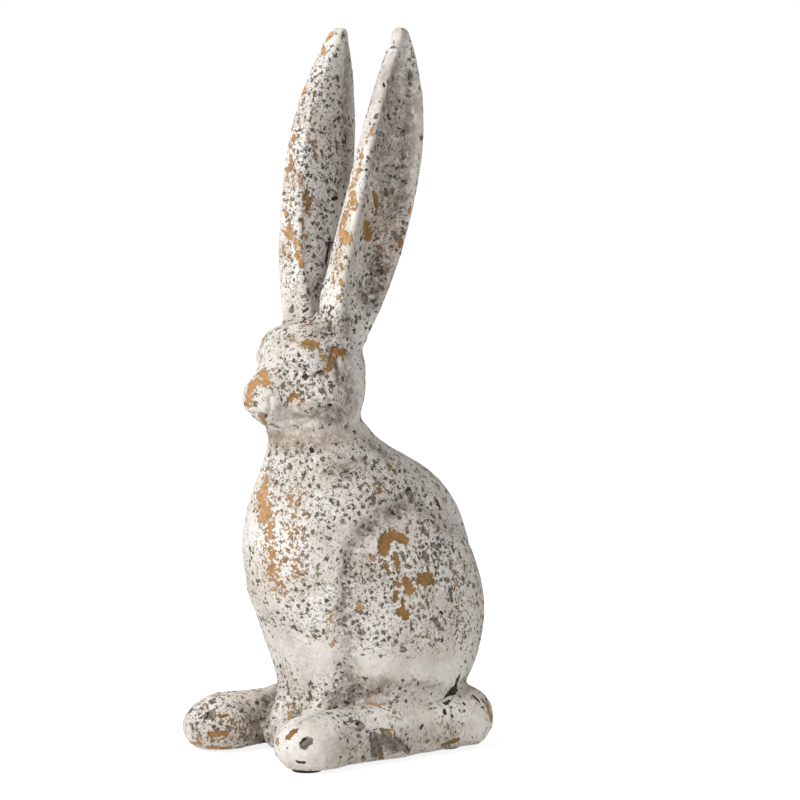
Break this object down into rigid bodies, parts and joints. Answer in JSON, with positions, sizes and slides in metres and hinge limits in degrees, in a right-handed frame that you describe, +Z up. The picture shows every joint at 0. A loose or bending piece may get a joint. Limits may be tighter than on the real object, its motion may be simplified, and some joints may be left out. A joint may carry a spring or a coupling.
{
  "type": "rabbit statue",
  "caption": "Seated hare statue with upright ears, cast in stone-like composite in separate hollow and solid pieces, with a chipped antique white coat.",
  "frame": {"origin": "on the ground, under the middle of the statue", "axes": "+Z up, +X to the hare's left, the hare faces -Y"},
  "size_m": [0.149, 0.1975, 0.4952],
  "materials": {
    "coat": "matte, chalky white paint chipped to ochre and dark grey",
    "jointing": "matte, smooth off-white filler",
    "bare_cast": "matte, bare cast",
    "tape": "woven, soaked in binder",
    "rod": "drawn, dull",
    "plug": "matte",
    "pad": "matte"
  },
  "bodies": {
    "root": {"left_torso_shell": "coat", "right_torso_shell": "coat", "chest_seam_tape": "tape", "back_seam_tape": "tape", "base_plate": "bare_cast", "vent_plug": "plug", "neck_fill_ring": "jointing", "head": "coat", "left_ear": "coat", "right_ear": "coat", "left_ear_rod": "rod", "right_ear_rod": "rod", "left_hind_foot": "coat", "right_hind_foot": "coat", "tail": "coat", "left_toe_pad": "pad", "right_toe_pad": "pad", "left_heel_pad": "pad", "right_heel_pad": "pad"}
  },
  "joints": []
}
